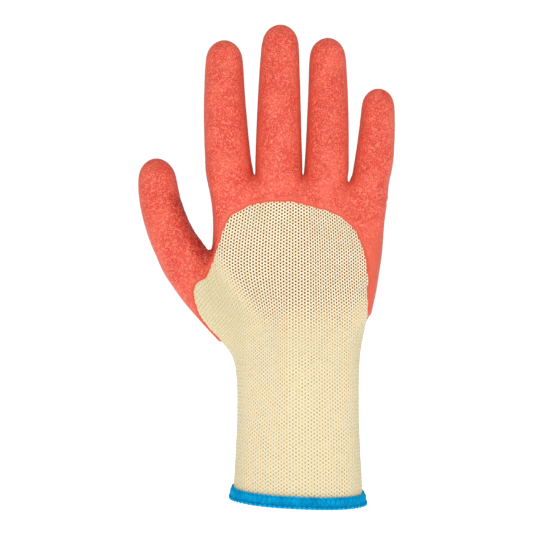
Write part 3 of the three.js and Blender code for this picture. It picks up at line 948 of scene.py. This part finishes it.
knitLooks = {
    "yarn": colour(227, 219, 188),
    "lit": colour(254, 255, 248),  # painted highlight on the crown of a stitch's leg
    "closed": colour(212, 203, 168),  # painted shade: darker yarn where the stitches close up at the sides and the thumb
    "shadow": colour(206, 180, 110),
    "halo": colour(206, 146, 32),  # light that has passed through the yarn round a hole
    # painted shade in the holes between the stitches, a warm brown
    "hole": colour(104, 46, 0),
    "paleHoleShade": colour(184, 144, 66),  # painted shade in the holes, paler on the cuff and at the thumb, where the stitches close up
    "soaked": colour(240, 140, 96),  # where the latex has run into the yarn
    "holeWidth": 0.56 * mm,  # half of it
    "holeHeight": 0.55 * mm,
    "patches": 300.0,
    "surface": {"Roughness": 0.92, "Specular IOR Level": 0.1},
    "fibre": 0.16 * mm,
}
insideLooks = {
    "loop": colour(240, 226, 192),
    # painted shade between the loops
    "gap": colour(196, 168, 122),
    "loops": (300.0, 300.0, 560.0),
    "relief": 0.5 * mm,
}


def stitchGroup():
    # From a place counted in wales and courses: the groove between legs, the holes and the fibres
    group = bpy.data.node_groups.new("stitch", "ShaderNodeTree")
    group.interface.new_socket("Stitches", in_out="INPUT", socket_type="NodeSocketVector")
    given = addNode(group, "NodeGroupInput").outputs[0]
    wale, course, _ = addNode(group, "ShaderNodeSeparateXYZ", {0: given}).outputs
    phase = calc(group, "MULTIPLY_ADD", zigzag(group, wale), -knit["rise"], course)
    groove = calc(group, "SUBTRACT", 1.0, zigzag(group, phase))
    reaches = []
    for shift in (0.0, 0.5):
        offsets = []
        for axis, size in ((wale, knit["pitch"] / knitLooks["holeWidth"]),
                           (course, knit["course"] / knitLooks["holeHeight"])):
            middle = calc(group, "SUBTRACT", calc(group, "FRACT", calc(group, "ADD", axis, shift)), 0.5)
            offsets.append(calc(group, "POWER", calc(group, "MULTIPLY", middle, size), 2.0))
        reaches.append(calc(group, "SQRT", calc(group, "ADD", *offsets)))
    reach = calc(group, "MINIMUM", *reaches)
    onLeg, offHole = ramp(group, groove, 0.2, 1.0, (1, 0.5)), ramp(group, reach, 1.0, 1.6)
    ends = {0: calc(group, "MULTIPLY", phase, 9.0), 1: calc(group, "MULTIPLY", wale, 2.4)}
    along = addNode(group, "ShaderNodeCombineXYZ", ends).outputs[0]
    results = {
        "Groove": groove,
        "Hole": ramp(group, reach, 0.45, 1.05, (1, 0)),
        "Halo": ramp(group, reach, 0.75, 1.4, (1, 0)),
        "Crown": calc(group, "MULTIPLY", onLeg, offHole),
        "Fibre": noise(group, along, 1.0),
    }
    for name in results:
        group.interface.new_socket(name, in_out="OUTPUT", socket_type="NodeSocketFloat")
    addNode(group, "NodeGroupOutput", results)
    return group


def knitMaterial():
    material, tree, shader = newMaterial("knitYarn", knitLooks["surface"])
    looks = knitLooks
    uv = addNode(tree, "ShaderNodeUVMap", uv_map="stitches").outputs[0]
    stitch = addNode(tree, "ShaderNodeGroup", node_tree=stitchGroup())
    tree.links.new(uv, stitch.inputs[0])
    groove, hole, halo, crown, fibre = stitch.outputs
    strength = attribute(tree, "open")
    patch = noise(tree, objectPlace(tree), looks["patches"])
    # Yarn: painted highlight on the crowns, painted shade in the grooves and where the stitches close up
    plain = mixColour(tree, ramp(tree, strength, 0.1, 0.42), looks["closed"], looks["yarn"])
    highlightShare = calc(tree, "MULTIPLY", crown, ramp(tree, patch, 0.3, 0.65, (0.55, 1.0)))
    highlightShare = calc(tree, "MULTIPLY", highlightShare, ramp(tree, strength, 0.3, 0.9, (0.35, 1.0)))
    plain = mixColour(tree, highlightShare, plain, looks["lit"])
    groovesShown = ramp(tree, strength, 0.0, 1.0, (0.45, 0.5))
    grooveShare = calc(tree, "MULTIPLY", ramp(tree, groove, 0.25, 1.0), groovesShown)
    yarn = mixColour(tree, grooveShare, plain, looks["shadow"])
    # Holes: painted shade, smaller, paler and less even where the stitches are closed
    shrunk = ramp(tree, hole, ramp(tree, strength, 0.35, 0.9, (0.5, 0.0)), 1.0)
    holeShare = calc(tree, "MULTIPLY", shrunk, ramp(tree, strength, 0.0, 0.5, (0.25, 1.0)))
    byPatch, byStrength = ramp(tree, patch, 0.35, 0.62, (0.1, 1.1)), ramp(tree, strength, 0.5, 1.0)
    holeShare = calc(tree, "MULTIPLY", holeShare, calc(tree, "MAXIMUM", byPatch, byStrength))
    holeShadeColour = mixColour(tree, ramp(tree, strength, 0.4, 1.0), looks["paleHoleShade"], looks["hole"])
    haloShare = calc(tree, "MULTIPLY", halo, ramp(tree, strength, 0.0, 1.0, (0.08, 0.8)))
    glowing = mixColour(tree, haloShare, yarn, looks["halo"])
    holed = mixColour(tree, holeShare, glowing, holeShadeColour)
    soaked = ramp(tree, attribute(tree, "inside"), -0.9 * mm, 0.2 * mm, (0, 0.8))
    connect(tree, shader.inputs["Base Color"], mixColour(tree, soaked, holed, looks["soaked"]))
    connect(tree, shader.inputs["Normal"], bump(tree, fibre, 0.7, looks["fibre"]))
    return material


def insideMaterial():
    material, tree, shader = newMaterial("knitInside", {"Roughness": 0.95})
    looks = insideLooks
    inputs = {"Vector": objectPlace(tree), "Scale": looks["loops"]}
    stretched = addNode(tree, "ShaderNodeMapping", inputs).outputs[0]
    inputs = {"Vector": stretched, "Scale": 1.0, "Randomness": 0.35}
    loops = addNode(tree, "ShaderNodeTexVoronoi", inputs, feature="F1").outputs["Distance"]
    # Loops pale, with painted shade in the gaps between them
    tone = mixColour(tree, ramp(tree, loops, 0.1, 0.8), looks["loop"], looks["gap"])
    connect(tree, shader.inputs["Base Color"], tone)
    height = calc(tree, "SUBTRACT", 1.0, loops)
    connect(tree, shader.inputs["Normal"], bump(tree, height, 0.8, looks["relief"]))
    return material


# Latex

latexLooks = {
    "pad": colour(246, 116, 88),
    "calmShade": colour(204, 74, 46),  # where the skin is smooth: its tone, darkened as painted shade on the sides of the fingers and the hand
    # painted shade in the creases
    "crease": colour(214, 32, 18),
    "deepCreaseShade": colour(168, 22, 10),  # painted shade in the deep folds in the fork of the thumb
    "surface": {"Specular IOR Level": 0.55},
    "roughness": (0.62, 0.38),  # in a crease and on a pad
    "warp": 300.0,
    "warpSwing": (3.4 * mm,) * 3,
    "worms": 640.0,  # scale of the fine creases
    "cells": 800.0,
    "grain": 1700.0,
    "zones": 85.0,
    "patches": 55.0,
    "fineHeight": 0.6 * mm,
}


def bentPlace(tree, place):
    inputs = {"Vector": place, "Scale": latexLooks["warp"], "Detail": 2.0}
    warp = addNode(tree, "ShaderNodeTexNoise", inputs).outputs["Color"]
    inputs = {0: warp, 1: latexLooks["warpSwing"]}
    moved = addNode(tree, "ShaderNodeVectorMath", inputs, operation="MULTIPLY").outputs[0]
    return addNode(tree, "ShaderNodeVectorMath", {0: place, 1: moved}, operation="ADD").outputs[0]


def latexMaterial():
    material, tree, shader = newMaterial("crinkledLatex", latexLooks["surface"])
    looks = latexLooks
    place = objectPlace(tree)
    bent = bentPlace(tree, place)
    worm = noise(tree, bent, looks["worms"], 1.0)
    folds = ramp(tree, calc(tree, "ABSOLUTE", calc(tree, "SUBTRACT", worm, 0.5)), 0.0, 0.1)
    inputs = {"Vector": bent, "Scale": looks["cells"]}
    cells = addNode(tree, "ShaderNodeTexVoronoi", inputs, feature="DISTANCE_TO_EDGE").outputs["Distance"]
    pads = calc(tree, "MULTIPLY", folds, ramp(tree, cells, 0.0, 0.3, (0.55, 1.0)))
    folds = calc(tree, "SUBTRACT", 1.0, pads)
    grain = noise(tree, place, looks["grain"])
    crinkled, deep = attribute(tree, "crinkled"), attribute(tree, "deep")
    zones = noise(tree, place, looks["zones"], 1.0)
    share = calc(tree, "MULTIPLY", crinkled, ramp(tree, zones, 0.35, 0.6, (0.75, 1.0)))
    # How far the colour goes from the pads' to the painted shade of the creases, deepest in the thumb's
    # fork, with some random tone
    darker = calc(tree, "MULTIPLY", folds, 0.85)
    darker = calc(tree, "MULTIPLY_ADD", ramp(tree, attribute(tree, "crease"), 0.6, 1.0), 0.16, darker)
    darker = calc(tree, "MULTIPLY", darker, share)
    darker = calc(tree, "MULTIPLY_ADD", deep, calc(tree, "MULTIPLY_ADD", folds, 0.7, 0.2), darker)
    darker = calc(tree, "MULTIPLY_ADD", calc(tree, "SUBTRACT", grain, 0.5), 0.7, darker)
    patch = noise(tree, place, looks["patches"])
    darker = calc(tree, "ADD", darker, calc(tree, "MULTIPLY_ADD", patch, 0.1, -0.05))
    # Smooth skin takes the darker colour with painted side shade, crinkled skin the pads' colour
    pad = mixColour(tree, crinkled, looks["calmShade"], looks["pad"])
    crease = mixColour(tree, deep, looks["crease"], looks["deepCreaseShade"])
    height = calc(tree, "MULTIPLY_ADD", grain, 0.3, calc(tree, "MULTIPLY", pads, share))
    connect(tree, shader.inputs["Base Color"], mixColour(tree, darker, pad, crease))
    connect(tree, shader.inputs["Roughness"], ramp(tree, pads, 0.0, 1.0, looks["roughness"]))
    connect(tree, shader.inputs["Normal"], bump(tree, height, 0.75, looks["fineHeight"]))
    return material


# Hem thread

threadLooks = {
    "thread": colour(4, 176, 226),
    "shade": colour(0, 98, 162),
    "surface": {"Roughness": 0.85, "Specular IOR Level": 0.05},
    "twist": 700.0,
    "patches": 220.0,
    "relief": 0.12 * mm,
}


def threadMaterial():
    material, tree, shader = newMaterial("hemThread", threadLooks["surface"])
    looks = threadLooks
    place = objectPlace(tree)
    inputs = {"Vector": place, "Scale": looks["twist"], "Distortion": 6.0, "Detail": 1.0}
    twist = addNode(tree, "ShaderNodeTexWave", inputs, bands_direction="DIAGONAL").outputs["Fac"]
    patch = calc(tree, "MULTIPLY_ADD", noise(tree, place, looks["patches"]), 1.1, -0.45)
    share = calc(tree, "MULTIPLY_ADD", twist, 0.5, patch)
    connect(tree, shader.inputs["Base Color"], mixColour(tree, share, looks["thread"], looks["shade"]))
    connect(tree, shader.inputs["Normal"], bump(tree, twist, 0.5, looks["relief"]))
    return material


yarnMaterial = knitMaterial()
finish(knitCuff, yarnMaterial, "knit")
finish(knitHand, yarnMaterial, "knit")
finish(linerInside, insideMaterial(), "knit", *knitNodes)
finish(latexDip, latexMaterial(), "latex", "latex_coating")
finish(hemThread, threadMaterial(), "hem_thread", "overlock_hem")
bpy.data.objects.remove(form)
report("materials are on")


# Studio: pale floor far below, light all round, broad soft lamps in front and at the side

studio = {
    "camera": (-16.8 * mm, -710 * mm, 128.3 * mm),
    "lens": 86.86,
    "sensor": 36,
    "floor": -450 * mm,
    "floorSize": 30,
    "floorLooks": {
        "Roughness": 0.9,
        "Base Color": (0.9, 0.9, 0.9, 1),
        "Emission Color": (1, 1, 1, 1),
        "Emission Strength": 0.85,
    },
    "ambient": 0.45,
    "backdrop": 1.05,
    "lamps": {"frontLight": ((-0.18, -1.2, 0.75), 9.3), "sideLight": ((1.0, -0.5, 0.5), 1.2)},
    "lampSize": 0.8,
    "target": (0, 0, 0.13),
}


def addCamera():
    bpy.ops.object.camera_add(location=studio["camera"], rotation=(math.pi / 2, 0, 0))
    camera = bpy.context.object
    camera.data.lens = studio["lens"]
    camera.data.sensor_width = studio["sensor"]
    bpy.context.scene.camera = camera


def addLamp(name, place, power):
    bpy.ops.object.light_add(type="AREA", location=place)
    lamp = bpy.context.object
    lamp.name = name
    lamp.data.size = studio["lampSize"]
    lamp.data.energy = power
    way = Vector(studio["target"]) - Vector(place)
    lamp.rotation_euler = way.to_track_quat("-Z", "Y").to_euler()


def addFloor():
    bpy.ops.mesh.primitive_plane_add(size=studio["floorSize"], location=(0, 0, studio["floor"]))
    floor = bpy.context.object
    floor.name = "studioFloor"
    floor.data.materials.append(newMaterial("studioFloor", studio["floorLooks"])[0])


def addWorld():
    world = bpy.data.worlds.new("studioLight")
    world.use_nodes = True
    bpy.context.scene.world = world
    tree = world.node_tree
    background = tree.nodes["Background"]
    background.inputs["Color"].default_value = (1, 1, 1, 1)
    seen = addNode(tree, "ShaderNodeLightPath").outputs["Is Camera Ray"]
    inputs = {"Value": seen, "To Min": studio["ambient"], "To Max": studio["backdrop"]}
    strength = addNode(tree, "ShaderNodeMapRange", inputs).outputs[0]
    connect(tree, background.inputs["Strength"], strength)


addCamera()
addFloor()
addWorld()
for lampName, (lampPlace, lampPower) in studio["lamps"].items():
    addLamp(lampName, lampPlace, lampPower)
bpy.context.scene.view_settings.view_transform = "Standard"
report("studio is set")
